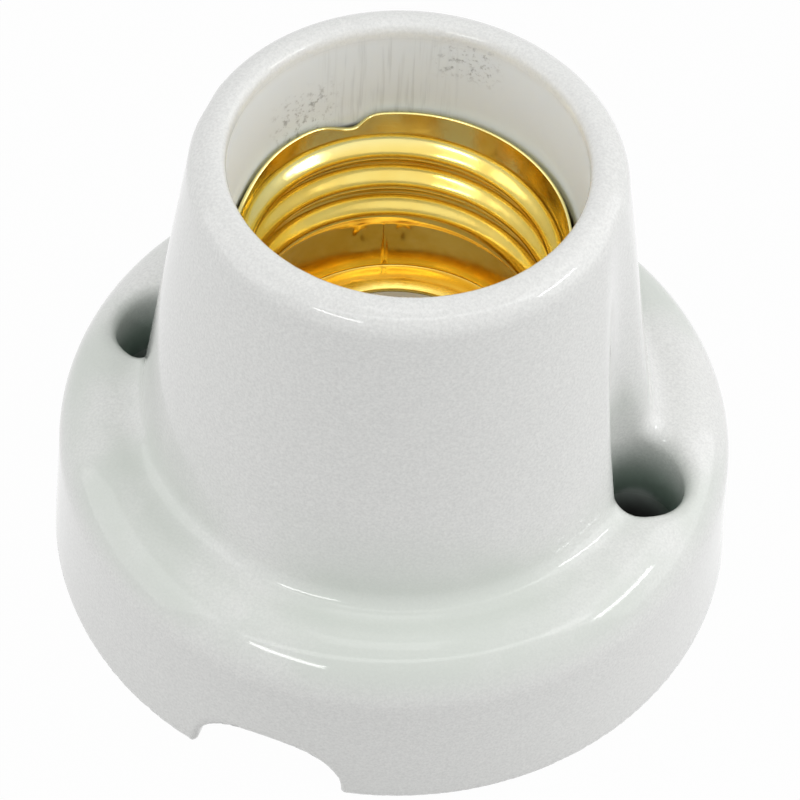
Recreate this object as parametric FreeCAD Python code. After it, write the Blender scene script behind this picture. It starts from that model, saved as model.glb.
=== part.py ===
import FreeCAD, Part
import math
import os
from FreeCAD import Vector

# Porcelain lamp holder for an E27 lamp, screwed flat to a wall or ceiling
# Millimetres. The origin is the centre of the foot, +Z runs along the lamp axis.
# The two fixing holes lie on X and the cable notch faces -Y.

# Lamp thread and the rolled brass shell
# The thread is a ridge pressed inwards, which keeps its depth for some turns and runs out at both ends
PITCH = 25.4 / 7
ROOT_R = 13.3
THREAD_DEPTH = 1.1
THREAD_FLAT = 0.9
THREAD_TURNS = 2.6
THREAD_RUN_OUT = 0.3
THREAD_START_ANGLE = 5.0
THREAD_TO_RIM = 3.0
THREAD_RELIEF = 0.25
SHEET = 0.35
SHELL_LENGTH = 19.2
SHELL_LOWER_R = 12.8
LOWER_WALL_H = 6.4
LOWER_STEP_H = 0.8
SHELL_BEND = 0.8
LIP_R = 10.4
EAR_R = 3.2
SHELL_OFFSET_X = -0.1

# Porcelain body, outside
FOOT_R = 30.0
FLANGE_R = 29.1
FLANGE_Z = 16.6
FLANGE_ROUND = 4.5
TOWER_FOOT_R = 22.0
TOWER_TOP_R = 17.0
TOWER_FILLET = 1.5
HEIGHT = 46.3
RIM_ROUND_OUT = 1.9
RIM_ROUND_IN = 0.6
FOOT_CHAMFER = 0.3

# Porcelain body, inside
SEAT_CLEARANCE = 0.2
MOUTH_CLEARANCE = 0.5
MOUTH_STEP_ABOVE_SHELL = 0.2
SOCKET_FLOOR_Z = 18.0
FLOOR_THICKNESS = 7.0
WALL = 4.5
WALL_DRAFT = 1.0
BOSS_WALL = 2.6
RIB_THICKNESS = 1.4
RIB_DEPTH = 6.0
RIB_OVERRUN = 1.6

# Fixing holes and cable notch
# Each fixing screw drops through a well for its head, on to a ledge with a narrower hole
HOLE_SPACING = 44.0
WELL_R = 3.9
WELL_ROUND = 1.6
LEDGE_Z = 4.0
SCREW_HOLE_R = 2.6
NOTCH_R = 6.5
NOTCH_HEIGHT = 6.5

# Machine screws through the porcelain floor
SCREW_R = 1.5
SCREW_LENGTH = 11.0
SCREW_HEAD_R = 2.4
SCREW_HEAD_H = 1.6
SCREW_SLOT = 0.7
SCREW_SLOT_DEPTH = 0.8
THREAD_GAP = 0.02
CLEAR_GAP = 0.15
HEAD_TO_BEND = 0.1
NUT_FLATS = 5.5
NUT_H = 2.4
WASHER_R = 3.4
WASHER_H = 0.5

# Wire terminals
PLATE = 1.5
PLATE_WIDTH = 7.0
STRAP_WIDTH = 6.0
LUG = 1.0
LUG_DEPTH = 2.6
LUG_INSET = 0.6
TERMINAL_X = 10.5
CLAMP_SIZE = 6.6
CLAMP_H = 0.8
CLAMP_SIDE_GAP = 0.25
WIRE_SCREW_R = 1.75
WIRE_SCREW_LENGTH = 6.0
WIRE_HEAD_R = 3.2
WIRE_HEAD_H = 2.2
WIRE_SLOT = 0.9
WIRE_SLOT_DEPTH = 1.1
RUNNING_GAP = 0.08
RELIEF_GAP = 0.45
RELIEF_END_GAP = 0.6

# Centre contact tongue
CONTACT_SHEET = 0.5
CONTACT_WIDTH = 5.0
CONTACT_RISE = 3.6
CONTACT_SCREW_Y = -5.6
CONTACT_FOOT_BACK = 0.4
CONTACT_FOOT_FRONT = 0.2
CONTACT_TOP_LENGTH = 2.2
CONTACT_TIP_LENGTH = 1.2
CONTACT_TIP_DROP = 0.8
CONTACT_SLOPE = 50.0
CONTACT_BEND = 0.45

# Round edges are drawn with chords of at most this length, and with at least this many
ROUND_CHORD = 1.8
ROUND_CHORDS = 3
# Cuts start and end this far outside what they cut
OVERCUT = 1.0

# Places worked out from the sizes above
SEAT_R = ROOT_R + SHEET + SEAT_CLEARANCE
MOUTH_R = ROOT_R + SHEET + MOUTH_CLEARANCE
ROOF_Z = SOCKET_FLOOR_Z - FLOOR_THICKNESS
PLATE_Z = ROOF_Z - PLATE
SHELL_TOP_Z = SOCKET_FLOOR_Z + SHELL_LENGTH
THREAD_LOW_Z = SHELL_TOP_Z - THREAD_TO_RIM - THREAD_TURNS * PITCH
BOSS_R = WELL_R + BOSS_WALL
HOLE_X = HOLE_SPACING / 2
SHELL_SCREW_RADIUS = SHELL_LOWER_R - SHELL_BEND - HEAD_TO_BEND - SCREW_HEAD_R
CAVITY_MOUTH_R = FOOT_R - WALL
CAVITY_ROOF_R = CAVITY_MOUTH_R - WALL_DRAFT
PAD_HALF_X = CLAMP_SIZE / 2 + CLAMP_SIDE_GAP + LUG
# The wire clamps stand midway between the washer of the shell screw and the skirt,
# and the rib midway between the left pad and the strap of the right one
SKIRT_Y = math.sqrt(CAVITY_ROOF_R ** 2 - (TERMINAL_X + PAD_HALF_X) ** 2)
TERMINAL_Y = -(WASHER_R + SKIRT_Y) / 2
RIB_X = -(TERMINAL_X - PAD_HALF_X + STRAP_WIDTH / 2) / 2
AXIS = Vector(0, 0, 1)


def cylinder(x, y, z0, z1, r):
    """Upright cylinder between two heights."""
    return Part.makeCylinder(r, z1 - z0, Vector(x, y, z0), AXIS)


def block(x0, x1, y0, y1, z0, z1):
    """Upright box between two corners."""
    return Part.makeBox(x1 - x0, y1 - y0, z1 - z0, Vector(x0, y0, z0))


def revolve(outline):
    """Solid of revolution about the lamp axis from the (r, z) corners of a half section."""
    points = [Vector(r, 0, z) for r, z in outline]
    face = Part.Face(Part.makePolygon(points + points[:1]))
    return face.revolve(Vector(0, 0, 0), AXIS, 360)


def rounded(centre, radius, start, end):
    """Points along a round edge of a half section, angles in degrees from +R towards +Z."""
    arc = radius * math.radians(abs(end - start))
    chords = max(ROUND_CHORDS, math.ceil(arc / ROUND_CHORD))
    angles = [math.radians(start + (end - start) * i / chords) for i in range(chords + 1)]
    return [(centre[0] + radius * math.cos(a), centre[1] + radius * math.sin(a)) for a in angles]


def porcelain_outside():
    """Skirted base, rounded shoulder and conical tower in one turned form."""
    rise = HEIGHT - FLANGE_Z
    lean = math.degrees(math.atan2(TOWER_FOOT_R - TOWER_TOP_R, rise))
    slope = math.tan(math.radians(lean))
    rim_r = TOWER_TOP_R - RIM_ROUND_OUT
    fillet_x = TOWER_FOOT_R + TOWER_FILLET * (1 / math.cos(math.radians(lean)) - slope)
    outline = [(0, 0), (FOOT_R - FOOT_CHAMFER, 0), (FOOT_R, FOOT_CHAMFER)]
    outline += rounded((FLANGE_R - FLANGE_ROUND, FLANGE_Z - FLANGE_ROUND), FLANGE_ROUND, 0, 90)
    outline += rounded((fillet_x, FLANGE_Z + TOWER_FILLET), TOWER_FILLET, 270, 180 + lean)
    outline += rounded((rim_r, HEIGHT - RIM_ROUND_OUT), RIM_ROUND_OUT, lean, 90)
    return revolve(outline + [(0, HEIGHT)])


def lamp_bore():
    """Seat for the shell and, just above it, the slightly wider mouth with its rounded rim."""
    rim_r = MOUTH_R + RIM_ROUND_IN
    step_z = SHELL_TOP_Z + MOUTH_STEP_ABOVE_SHELL
    outline = [(0, SOCKET_FLOOR_Z), (SEAT_R, SOCKET_FLOOR_Z), (SEAT_R, step_z), (MOUTH_R, step_z)]
    outline += rounded((rim_r, HEIGHT - RIM_ROUND_IN), RIM_ROUND_IN, 180, 90)
    return revolve(outline + [(rim_r, HEIGHT + OVERCUT), (0, HEIGHT + OVERCUT)])


def wiring_cavity():
    """Open space under the floor, less the two fixing bosses and the rib between the terminals."""
    cavity = Part.makeCone(CAVITY_MOUTH_R, CAVITY_ROOF_R, ROOF_Z)
    for side in (-1, 1):
        cavity = cavity.cut(cylinder(side * HOLE_X, 0, 0, ROOF_Z, BOSS_R))
        corner = block(HOLE_X, FOOT_R, -BOSS_R, BOSS_R, 0, ROOF_Z)
        cavity = cavity.cut(corner if side > 0 else corner.mirror(Vector(0, 0, 0), Vector(1, 0, 0)))
    half = RIB_THICKNESS / 2
    y0 = TERMINAL_Y - PLATE_WIDTH / 2 - LUG
    y1 = CONTACT_SCREW_Y + STRAP_WIDTH / 2 + RIB_OVERRUN
    return cavity.cut(block(RIB_X - half, RIB_X + half, y0, y1, ROOF_Z - RIB_DEPTH, ROOF_Z))


def fixing_hole(side):
    """Driver channel and head well with its rounded mouth, and the screw hole through the ledge."""
    x = side * HOLE_X
    hole = cylinder(x, 0, LEDGE_Z, HEIGHT, WELL_R)
    hole = hole.fuse(cylinder(x, 0, -OVERCUT, LEDGE_Z + OVERCUT, SCREW_HOLE_R))
    mouth_r = WELL_R + WELL_ROUND
    low_z = FLANGE_Z - WELL_ROUND
    top_z = FLANGE_Z + OVERCUT
    outline = [(0, low_z)] + rounded((mouth_r, low_z), WELL_ROUND, 180, 90)
    flare = revolve(outline + [(mouth_r, top_z), (0, top_z)])
    flare = flare.common(block(0, mouth_r, -mouth_r, mouth_r, low_z, top_z))
    if side < 0:
        flare = flare.mirror(Vector(0, 0, 0), Vector(1, 0, 0))
    flare.translate(Vector(x, 0, 0))
    return hole.fuse(flare)


def cable_notch():
    """Arched opening in the skirt for the supply cable."""
    depth = WALL + WALL_DRAFT + 2 * OVERCUT
    centre_z = NOTCH_HEIGHT - NOTCH_R
    start = Vector(0, -FOOT_R - OVERCUT, centre_z)
    arch = Part.makeCylinder(NOTCH_R, depth, start, Vector(0, 1, 0))
    sides = block(-NOTCH_R, NOTCH_R, start.y, start.y + depth, -OVERCUT, centre_z)
    return arch.fuse(sides)


def floor_holes():
    """Screw holes through the socket floor and the blind reliefs over the wire screws."""
    through_r = SCREW_R + CLEAR_GAP
    places = [(SHELL_OFFSET_X - SHELL_SCREW_RADIUS, 0), (SHELL_OFFSET_X + SHELL_SCREW_RADIUS, 0)]
    places.append((0, CONTACT_SCREW_Y))
    low_z = ROOF_Z - OVERCUT
    cuts = [cylinder(x, y, low_z, SOCKET_FLOOR_Z + OVERCUT, through_r) for x, y in places]
    relief_r = WIRE_SCREW_R + RELIEF_GAP
    relief_top = PLATE_Z - CLAMP_H + WIRE_SCREW_LENGTH + RELIEF_END_GAP
    for side in (-1, 1):
        cuts.append(cylinder(side * TERMINAL_X, TERMINAL_Y, low_z, relief_top, relief_r))
    return cuts


def porcelain_body():
    body = porcelain_outside()
    body = body.cut(lamp_bore())
    body = body.cut(wiring_cavity())
    for side in (-1, 1):
        body = body.cut(fixing_hole(side))
    body = body.cut(cable_notch())
    return body.cut(floor_holes()).removeSplitter()


def offset_line(points, distance):
    """Parallel copy of an open outline, to the left of its direction, with mitred corners."""
    normals = []
    for a, b in zip(points, points[1:]):
        length = math.dist(a, b)
        normals.append((-(b[1] - a[1]) / length, (b[0] - a[0]) / length))
    moved = []
    for i, p in enumerate(points):
        before = normals[max(i - 1, 0)]
        after = normals[min(i, len(normals) - 1)]
        nx = before[0] + after[0]
        nz = before[1] + after[1]
        scale = 2 * distance / (nx * nx + nz * nz)
        moved.append((p[0] + nx * scale, p[1] + nz * scale))
    return moved


def shell_line():
    """Inside line of the shell without its thread, from the rim down to the middle of its floor."""
    floor_z = SOCKET_FLOOR_Z + SHEET
    step_z = floor_z + LOWER_WALL_H
    points = [(ROOT_R, SHELL_TOP_Z), (ROOT_R, step_z + LOWER_STEP_H), (SHELL_LOWER_R, step_z)]
    points += [(SHELL_LOWER_R, floor_z + SHELL_BEND), (SHELL_LOWER_R - SHELL_BEND, floor_z)]
    return points + [(0, floor_z)]


def thread_section(root_r):
    """Corners (r, z) of the ridge of one skin, from just outside its root radius to its crest."""
    half_flat = THREAD_FLAT / 2
    half_foot = PITCH / 2 - half_flat
    flank = half_foot - half_flat
    inset = (root_r - ROOT_R) * math.tan(math.atan2(THREAD_DEPTH, flank) / 2)
    past = SHEET + THREAD_GAP
    foot = half_foot - inset + past * flank / THREAD_DEPTH
    crest = half_flat - inset
    crest_r = root_r - THREAD_DEPTH
    return [(root_r + past, foot), (crest_r, crest), (crest_r, -crest), (root_r + past, -foot)]


def helical_sweep(section, turns, growth):
    """Solid that a closed section sweeps along a rising right-hand helix, growing in radius by growth."""
    rise = PITCH * turns
    lean = math.degrees(math.atan(growth / rise))
    helix = Part.makeHelix(PITCH, rise, ROOT_R, lean) if growth else Part.makeHelix(PITCH, rise, ROOT_R)
    corners = [Vector(r, 0, z) for r, z in section + section[:1]]
    sweep = Part.BRepOffsetAPI.MakePipeShell(Part.Wire(helix.Edges))
    sweep.setFrenetMode(True)
    sweep.add(Part.makePolygon(corners))
    sweep.build()
    sweep.makeSolid()
    return sweep.shape()


def thread_ridge(root_r):
    """Parts of the ridge to cut from one skin: the full turns and the run-out at each end."""
    section = thread_section(root_r)
    growth = THREAD_DEPTH + THREAD_RELIEF
    turns = helical_sweep(section, THREAD_TURNS, 0)
    upper = helical_sweep(section, THREAD_RUN_OUT, growth)
    upper.rotate(Vector(0, 0, 0), AXIS, THREAD_TURNS * 360)
    upper.translate(Vector(0, 0, PITCH * THREAD_TURNS))
    lower = helical_sweep(section, THREAD_RUN_OUT, growth)
    lower.rotate(Vector(0, 0, 0), Vector(1, 0, 0), 180)
    pieces = [turns, upper, lower]
    for piece in pieces:
        piece.rotate(Vector(0, 0, 0), AXIS, THREAD_START_ANGLE)
        piece.translate(Vector(0, 0, THREAD_LOW_Z))
    return pieces


def shell_skin(line, root_r, top_z):
    """Solid inside one skin of the shell, up to a height, with the thread's ridge cut into it."""
    skin = revolve([(line[0][0], top_z)] + line[1:] + [(0, top_z)])
    for piece in thread_ridge(root_r):
        skin = skin.cut(piece)
    return skin


def lip_window():
    """Round opening inside the lip, less the two ears for the fixing screws, and their holes."""
    low_z = SOCKET_FLOOR_Z - OVERCUT
    top_z = SOCKET_FLOOR_Z + SHEET + OVERCUT
    window = cylinder(0, 0, low_z, top_z, LIP_R)
    for side in (-1, 1):
        x = side * SHELL_SCREW_RADIUS
        window = window.cut(cylinder(x, 0, low_z, top_z, EAR_R))
        window = window.fuse(cylinder(x, 0, low_z, top_z, SCREW_R + CLEAR_GAP))
    return window


def screw_shell():
    """Rolled brass sheet with a lamp thread and an inward lip that keeps two ears for its screws."""
    inner = shell_line()
    outer = offset_line(inner, SHEET)
    shell = shell_skin(outer, ROOT_R + SHEET, SHELL_TOP_Z)
    shell = shell.cut(shell_skin(inner, ROOT_R, SHELL_TOP_Z + OVERCUT))
    shell = shell.cut(lip_window())
    shell.translate(Vector(SHELL_OFFSET_X, 0, 0))
    return shell


def machine_screw(x, y, seat_z):
    """Slotted screw that points down from its seat."""
    screw = cylinder(x, y, seat_z - SCREW_LENGTH, seat_z, SCREW_R)
    screw = screw.fuse(cylinder(x, y, seat_z, seat_z + SCREW_HEAD_H, SCREW_HEAD_R))
    top = seat_z + SCREW_HEAD_H
    half = SCREW_SLOT / 2
    low = top - SCREW_SLOT_DEPTH
    slot = block(x - half, x + half, y - SCREW_HEAD_R, y + SCREW_HEAD_R, low, top + OVERCUT)
    return screw.cut(slot).removeSplitter()


def shell_nut():
    """Hexagon nut under the floor on the side without a terminal."""
    x = SHELL_OFFSET_X + SHELL_SCREW_RADIUS
    top = ROOF_Z - WASHER_H
    corner_r = NUT_FLATS / 2 / math.cos(math.pi / 6)
    angles = [math.radians(60 * i) for i in range(7)]
    ring = [Vector(x + corner_r * math.cos(a), corner_r * math.sin(a), top - NUT_H) for a in angles]
    nut = Part.Face(Part.makePolygon(ring)).extrude(Vector(0, 0, NUT_H))
    return nut.cut(cylinder(x, 0, top - NUT_H - OVERCUT, top + OVERCUT, SCREW_R + THREAD_GAP))


def shell_washer():
    x = SHELL_OFFSET_X + SHELL_SCREW_RADIUS
    low = ROOF_Z - WASHER_H
    disc = cylinder(x, 0, low, ROOF_Z, WASHER_R)
    return disc.cut(cylinder(x, 0, low - OVERCUT, ROOF_Z + OVERCUT, SCREW_R + CLEAR_GAP))


def strap(x0, y0, x1, y1, width, z0, z1):
    """Flat strap with round ends between two points."""
    length = math.hypot(x1 - x0, y1 - y0)
    body = Part.makeBox(length, width, z1 - z0, Vector(0, -width / 2, z0))
    body.rotate(Vector(0, 0, 0), AXIS, math.degrees(math.atan2(y1 - y0, x1 - x0)))
    body.translate(Vector(x0, y0, 0))
    return body.fuse([cylinder(x0, y0, z0, z1, width / 2), cylinder(x1, y1, z0, z1, width / 2)])


def terminal(side, end_x, end_y):
    """Stamped plate: a pad with two lugs at the wire screw and a strap to the screw above."""
    x = side * TERMINAL_X
    y0 = TERMINAL_Y - PLATE_WIDTH / 2
    y1 = TERMINAL_Y + PLATE_WIDTH / 2
    plate = strap(x, TERMINAL_Y, end_x, end_y, STRAP_WIDTH, PLATE_Z, ROOF_Z)
    plate = plate.fuse(block(x - PAD_HALF_X, x + PAD_HALF_X, y0, y1, PLATE_Z, ROOF_Z))
    lug_z = PLATE_Z - LUG_DEPTH
    for x0 in (x - PAD_HALF_X, x + PAD_HALF_X - LUG):
        plate = plate.fuse(block(x0, x0 + LUG, y0 + LUG_INSET, y1 - LUG_INSET, lug_z, PLATE_Z))
    low = PLATE_Z - OVERCUT
    high = ROOF_Z + OVERCUT
    plate = plate.cut(cylinder(x, TERMINAL_Y, low, high, WIRE_SCREW_R + RUNNING_GAP))
    plate = plate.cut(cylinder(end_x, end_y, low, high, SCREW_R + THREAD_GAP))
    return plate.removeSplitter()


def clamp_washer(side):
    """Square washer that presses the wire against the plate."""
    x = side * TERMINAL_X
    half = CLAMP_SIZE / 2
    low = PLATE_Z - CLAMP_H
    plate = block(x - half, x + half, TERMINAL_Y - half, TERMINAL_Y + half, low, PLATE_Z)
    hole_r = WIRE_SCREW_R + RUNNING_GAP
    return plate.cut(cylinder(x, TERMINAL_Y, low - OVERCUT, PLATE_Z + OVERCUT, hole_r))


def wire_screw(side):
    """Slotted screw that points up through the clamp washer and the plate."""
    x = side * TERMINAL_X
    seat = PLATE_Z - CLAMP_H
    screw = cylinder(x, TERMINAL_Y, seat, seat + WIRE_SCREW_LENGTH, WIRE_SCREW_R)
    screw = screw.fuse(cylinder(x, TERMINAL_Y, seat - WIRE_HEAD_H, seat, WIRE_HEAD_R))
    low = seat - WIRE_HEAD_H
    half = WIRE_SLOT / 2
    y0 = TERMINAL_Y - WIRE_HEAD_R
    y1 = TERMINAL_Y + WIRE_HEAD_R
    slot = block(x - half, x + half, y0, y1, low - OVERCUT, low + WIRE_SLOT_DEPTH)
    return screw.cut(slot).removeSplitter()


def centre_contact():
    """Spring tongue: a foot under its screw, a slope and a level top over the lamp axis."""
    z0 = SOCKET_FLOOR_Z
    foot_start = CONTACT_SCREW_Y - SCREW_HEAD_R - CONTACT_FOOT_BACK
    foot_end = CONTACT_SCREW_Y + SCREW_HEAD_R + CONTACT_FOOT_FRONT
    a = math.radians(CONTACT_SLOPE)
    rise = CONTACT_RISE - CONTACT_SHEET
    top_start = foot_end + rise / math.tan(a)
    top_end = top_start + CONTACT_TOP_LENGTH
    tip = (top_end + CONTACT_TIP_LENGTH, z0 + rise - CONTACT_TIP_DROP)
    path = [(foot_start, z0), (foot_end, z0), (top_start, z0 + rise), (top_end, z0 + rise), tip]
    outline = path + offset_line(path, CONTACT_SHEET)[::-1]
    points = [Vector(-CONTACT_WIDTH / 2, y, z) for y, z in outline]
    tongue = Part.Face(Part.makePolygon(points + points[:1])).extrude(Vector(CONTACT_WIDTH, 0, 0))
    bends = [e for e in tongue.Edges if is_bend(e, path)]
    if bends:
        tongue = tongue.makeFillet(CONTACT_BEND, bends)
    top = z0 + CONTACT_SHEET + OVERCUT
    return tongue.cut(cylinder(0, CONTACT_SCREW_Y, z0 - OVERCUT, top, SCREW_R + CLEAR_GAP))


def is_bend(edge, path):
    """True for an edge across the tongue at one of its lower bend lines."""
    across = abs(edge.BoundBox.XLength - CONTACT_WIDTH) < 1e-6
    y = edge.CenterOfMass.y
    z = edge.CenterOfMass.z
    return across and any(math.dist((y, z), p) < 1e-6 for p in path[1:-1])


def main():
    seat_on_lip = SOCKET_FLOOR_Z + SHEET
    left_x = SHELL_OFFSET_X - SHELL_SCREW_RADIUS
    right_x = SHELL_OFFSET_X + SHELL_SCREW_RADIUS
    pieces = {
        "porcelain_body": porcelain_body(),
        "screw_shell": screw_shell(),
        "shell_screw_left": machine_screw(left_x, 0, seat_on_lip),
        "shell_screw_right": machine_screw(right_x, 0, seat_on_lip),
        "shell_washer": shell_washer(),
        "shell_nut": shell_nut(),
        "centre_contact": centre_contact(),
        "contact_screw": machine_screw(0, CONTACT_SCREW_Y, SOCKET_FLOOR_Z + CONTACT_SHEET),
        "neutral_terminal": terminal(-1, left_x, 0),
        "live_terminal": terminal(1, 0, CONTACT_SCREW_Y),
        "neutral_clamp_washer": clamp_washer(-1),
        "live_clamp_washer": clamp_washer(1),
        "neutral_wire_screw": wire_screw(-1),
        "live_wire_screw": wire_screw(1),
    }
    os.makedirs("parts", exist_ok=True)
    for name, shape in pieces.items():
        print(name, shape.isValid(), len(shape.Solids), round(shape.Volume, 2))
        shape.exportStep("parts/" + name + ".step")


main()
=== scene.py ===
import math
import bpy
import numpy as np
from mathutils import Matrix, Vector

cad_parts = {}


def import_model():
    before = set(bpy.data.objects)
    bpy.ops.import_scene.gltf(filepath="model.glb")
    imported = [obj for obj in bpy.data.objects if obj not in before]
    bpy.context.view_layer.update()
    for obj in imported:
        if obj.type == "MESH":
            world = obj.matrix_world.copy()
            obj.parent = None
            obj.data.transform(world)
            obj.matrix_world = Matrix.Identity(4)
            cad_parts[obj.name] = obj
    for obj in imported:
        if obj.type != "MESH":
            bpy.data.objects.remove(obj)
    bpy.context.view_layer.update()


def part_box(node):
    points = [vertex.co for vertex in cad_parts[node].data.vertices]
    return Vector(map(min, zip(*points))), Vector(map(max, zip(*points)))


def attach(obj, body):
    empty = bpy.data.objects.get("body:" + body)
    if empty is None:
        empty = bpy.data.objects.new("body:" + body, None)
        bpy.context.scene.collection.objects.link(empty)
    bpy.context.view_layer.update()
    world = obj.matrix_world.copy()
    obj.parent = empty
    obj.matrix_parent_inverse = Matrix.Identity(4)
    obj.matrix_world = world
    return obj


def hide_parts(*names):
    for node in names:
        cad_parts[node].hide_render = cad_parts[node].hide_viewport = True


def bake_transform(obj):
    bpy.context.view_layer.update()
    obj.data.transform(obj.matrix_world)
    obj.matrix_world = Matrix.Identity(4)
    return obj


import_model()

# Porcelain lamp holder with a rolled brass shell
# Sizes are in millimetres until a mesh is made, and MM turns them into metres.
MM = 0.001


def span_of(node):
    """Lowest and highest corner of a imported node, in millimetres."""
    low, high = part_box(node)
    return np.array(low) / MM, np.array(high) / MM


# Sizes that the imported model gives
body_high = span_of("porcelain_body")[1]
shell_low, shell_high = span_of("screw_shell")
clamp_low, clamp_high = span_of("live_clamp_washer")
nut_low, nut_high = span_of("shell_nut")
FOOT_R = body_high[0]
HEIGHT = body_high[2]
SHELL_FOOT_Z = shell_low[2]
SHELL_TOP_Z = shell_high[2]
SHELL_X = (shell_low[0] + shell_high[0]) / 2
SHEET = 0.35
ROOT_R = (shell_high[0] - shell_low[0]) / 2 - SHEET
CLAMP_X = (clamp_low[0] + clamp_high[0]) / 2
CLAMP_Y = (clamp_low[1] + clamp_high[1]) / 2
PLATE_Z = clamp_high[2]
ROOF_Z = span_of("live_terminal")[1][2]

# Outside of the porcelain
SKIRT_TOP_R = 29.1
FLANGE_Z = 16.6
FLANGE_ROUND = 4.5
TOWER_FOOT_R = 22.0
TOWER_TOP_R = 17.0
TOWER_FILLET = 1.5
RIM_ROUND_OUT = 1.9
RIM_ROUND_IN = 0.8
FOOT_ROUND = 0.7

# Unevenness of the fired outside: each wave's size and phase in radians, and its turn per mm of height
OVAL = (0.055, 0.6)
LOBES = (0.035, 2.0)
LOBE_TWIST = 0.05
RIPPLE = (0.03, -0.7)
RIPPLE_TWIST = 0.24
WOBBLE_RISE = (1.0, 5.0)

# Inside of the porcelain
SEAT_R = ROOT_R + SHEET + 0.42
MOUTH_R = ROOT_R + SHEET + 0.5
MOUTH_STEP_Z = SHELL_TOP_Z + 0.2
MOUTH_STEP_HALF = 0.3
CAVITY_MOUTH_R = FOOT_R - 4.5
CAVITY_ROOF_R = CAVITY_MOUTH_R - 1.0
HOLE_X = 22.0
WELL_R = 3.9
LEDGE_Z = 4.0
SCREW_HOLE_R = 2.6
BOSS_R = WELL_R + 2.6
NOTCH_R = 6.5
NOTCH_FLATNESS = 1.18
NOTCH_POWER = 2.3
NOTCH_END_Y = 6.5 - FOOT_R
RIB_HALF = 0.7
RIB_DEPTH = 6.0
RIB_BACK_Y = -1.0

# Edge rounds of the porcelain, and the heights between which two of them grow
SEAT_ROUND = 0.1
RIM_ROUND_RISE = (30, 42)
WELL_ROUND = 1.5
WELL_ROUND_RISE = (6, 13)
LEDGE_ROUND = 0.2
CAVITY_ROUND = 0.8
RIB_ROUND = 0.3
OPENING_ROUND = 0.5
DRILLED_ROUND = 0.2

# Screws, terminals and the centre contact
SHELL_SCREW_R = 9.5
CONTACT_SCREW_Y = -5.6
SCREW_R = 1.5
SCREW_HEAD_R = 2.4
SCREW_HEAD_H = 1.6
SCREW_LENGTH = 11.0
SCREW_PITCH = 0.5
SCREW_SLOT = (0.7, 0.8)
WIRE_SCREW_R = 1.75
WIRE_HEAD_R = 3.2
WIRE_HEAD_H = 2.2
WIRE_SCREW_LENGTH = 6.0
WIRE_PITCH = 0.6
WIRE_SLOT = (0.9, 1.1)
WIRE_SEAT_Z = clamp_low[2]
RELIEF_R = 2.2
RELIEF_END_GAP = 0.6
PAD_HALF_X = 4.55
PAD_HALF_Y = 3.5
STRAP_HALF = 3.0
LUG = 1.0
LUG_DEPTH = 2.6
LUG_INSET = 0.6
LUG_TOP_GAP = 0.3
CONTACT_SHEET = 0.5
CONTACT_HALF = 2.5
CONTACT_FOOT_FRONT = 0.35
CONTACT_RISE = math.radians(50)
CONTACT_TOP_LENGTH = 2.1
CONTACT_TIP_DROP = 0.8
RIB_X = -(CLAMP_X - PAD_HALF_X + STRAP_HALF) / 2

# Play round the screws: in a drilled hole, in a hole that a wire screw runs in and in a tapped one
HOLE_PLAY = 0.15
RUNNING_PLAY = 0.08
TAPPED_PLAY = 0.02

# Edge rounds of the screws, the nut and the washers
HEAD_ROUND = 0.45
HEAD_SEAT_EDGE = 0.12
SLOT_EDGE = 0.08
SHANK_END_ROUND = 0.4
NUT_EDGE = 0.08
NUT_HOLE_EDGE = 0.15
NUT_CHAMFER = 0.1
NUT_CHAMFER_FALL = 1.7
RING_EDGE = 0.12
CLAMP_CORNER = 0.7
CLAMP_EDGE = 0.15
CLAMP_HOLE_EDGE = 0.05

# Edge rounds and bends of the terminals and the contact tongue
PAD_CORNER = 0.4
STRAP_JOIN = 0.6
PLATE_EDGE = 0.22
PLATE_HOLE_EDGE = 0.12
LUG_EDGE = 0.2
LUG_BEND = 0.25
TONGUE_BEND = 0.3
TONGUE_TIP_CORNER = 1.3
TONGUE_FOOT_CORNER = 0.9
TONGUE_EDGE = 0.1
TONGUE_HOLE_EDGE = 0.05

# Fine thread of the machine screws: half its depth as a share of the pitch, and where it fades in
GROOVE_SHARE = 0.27
GROOVE_START = (0.3, 0.9)

# Rolled lamp thread, a ridge pressed inwards along a right-hand helix
PITCH = 25.4 / 7
THREAD_DEPTH = 1.1
THREAD_TURNS = 2.6
THREAD_RUN_OUT = 0.3
RUN_OUT_LAP = 0.05
THREAD_START = math.radians(5.0)
THREAD_LOW_Z = SHELL_TOP_Z - 3.0 - THREAD_TURNS * PITCH
RIDGE_POWER = 1.15

# Lower wall, lip and ears of the shell
SHELL_LOWER_R = 12.8
SHELL_BEND = 0.5
LOWER_WALL_TOP = SHELL_FOOT_Z + SHEET + 6.4
LOWER_STEP = (LOWER_WALL_TOP - 0.3, LOWER_WALL_TOP + 0.9)
LIP_R = 10.4
LIP_TOP_R = SHELL_LOWER_R - SHELL_BEND
LIP_CROWN = 0.42
CROWN_START = (0.42, 0.62)
EAR_R = 3.2

# Marks on the shell: the seam and two punch marks in its lower wall
SEAM_DEG = 115.4
SEAM_HALF_DEG = 0.9
SEAM_DEPTH = 0.12
SEAM_FADE_LOW = 0.6
SEAM_FADE_HIGH = 0.8
MARK_DEG = (108.5, 124.7)
MARK_HALF_DEG = 3.2
MARK_HALF_Z = 1.1
MARK_DEPTH = 0.3
MARK_Z = 23.2

# Rim of the shell: thinned at its edge, dented at one corner and low along one stretch
RIM_THINNING = 0.13
RIM_THIN_H = 1.2
RIM_BAND_H = 3.4
DENT_DEG = 128.5
DENT_HALF_DEG = (4.6, 9.5)
DENT_DEPTH = 1.35
LOW_RIM_DEG = 184
LOW_RIM_HALF_DEG = 15
LOW_RIM_DEPTH = 0.8

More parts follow.
